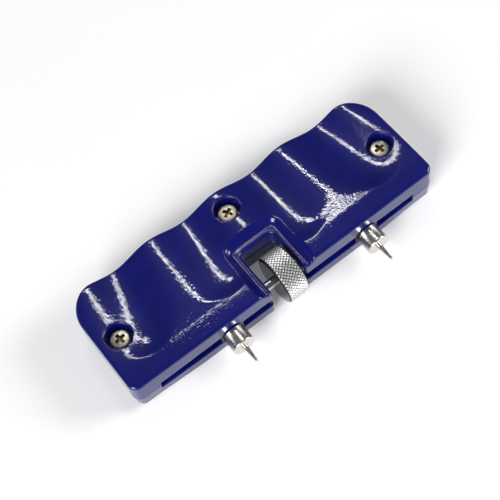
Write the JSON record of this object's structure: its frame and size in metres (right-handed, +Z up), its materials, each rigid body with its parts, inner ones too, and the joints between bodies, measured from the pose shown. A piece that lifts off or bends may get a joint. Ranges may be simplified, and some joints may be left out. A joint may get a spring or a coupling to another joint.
{
  "type": "case back opener",
  "caption": "Adjustable two-pin case back opener: a waved die-cast case whose thumb wheel and threaded spindle move a pair of pin chucks apart or together along front slots.",
  "frame": {"origin": "middle of the case's base face: half way along the case, half way between the front face and the crests of the back edge", "axes": "+X along the case to the right as seen from the front, -Y out of the front face along the pins, +Z up out of the top with the finger scoops"},
  "size_m": [0.11, 0.0484, 0.016],
  "materials": {
    "blue_enamel": "gloss",
    "yellow_zinc": "polished",
    "bush_brass": "satin",
    "bright_steel": "satin",
    "dark_steel": "satin",
    "wheel_nickel": "bright",
    "chuck_nickel": "polished",
    "pin_steel": "polished"
  },
  "bodies": {
    "case": {"upper_shell": "blue_enamel", "lower_shell": "blue_enamel", "case_screws": "yellow_zinc", "end_bush_left": "bush_brass", "end_bush_right": "bush_brass", "thrust_washer": "bright_steel"},
    "drive": {"spindle": "bright_steel", "thumb_wheel": "wheel_nickel", "retaining_clip_left": "bright_steel", "retaining_clip_right": "bright_steel"},
    "left_jaw": {"carriage_left": "dark_steel", "chuck_left": "chuck_nickel", "pin_left": "pin_steel"},
    "right_jaw": {"carriage_right": "dark_steel", "chuck_right": "chuck_nickel", "pin_right": "pin_steel"}
  },
  "joints": [
    {"name": "wheel_turn", "type": "hinge", "parent": "case", "child": "drive", "pos_m": [0, -0.0132, 0.0064], "axis": [1, 0, 0], "range_deg": [-3096, 4752]},
    {"name": "left_jaw_slide", "type": "slide", "parent": "case", "child": "left_jaw", "axis": [-1, 0, 0], "range_m": [-0.0087, 0.0133]},
    {"name": "right_jaw_slide", "type": "slide", "parent": "case", "child": "right_jaw", "axis": [1, 0, 0], "range_m": [-0.0087, 0.0133]}
  ],
  "couplings": [
    {"joint": "left_jaw_slide", "follows": "wheel_turn", "m_per_rad": 0.00015915},
    {"joint": "right_jaw_slide", "follows": "wheel_turn", "m_per_rad": 0.00015915}
  ]
}
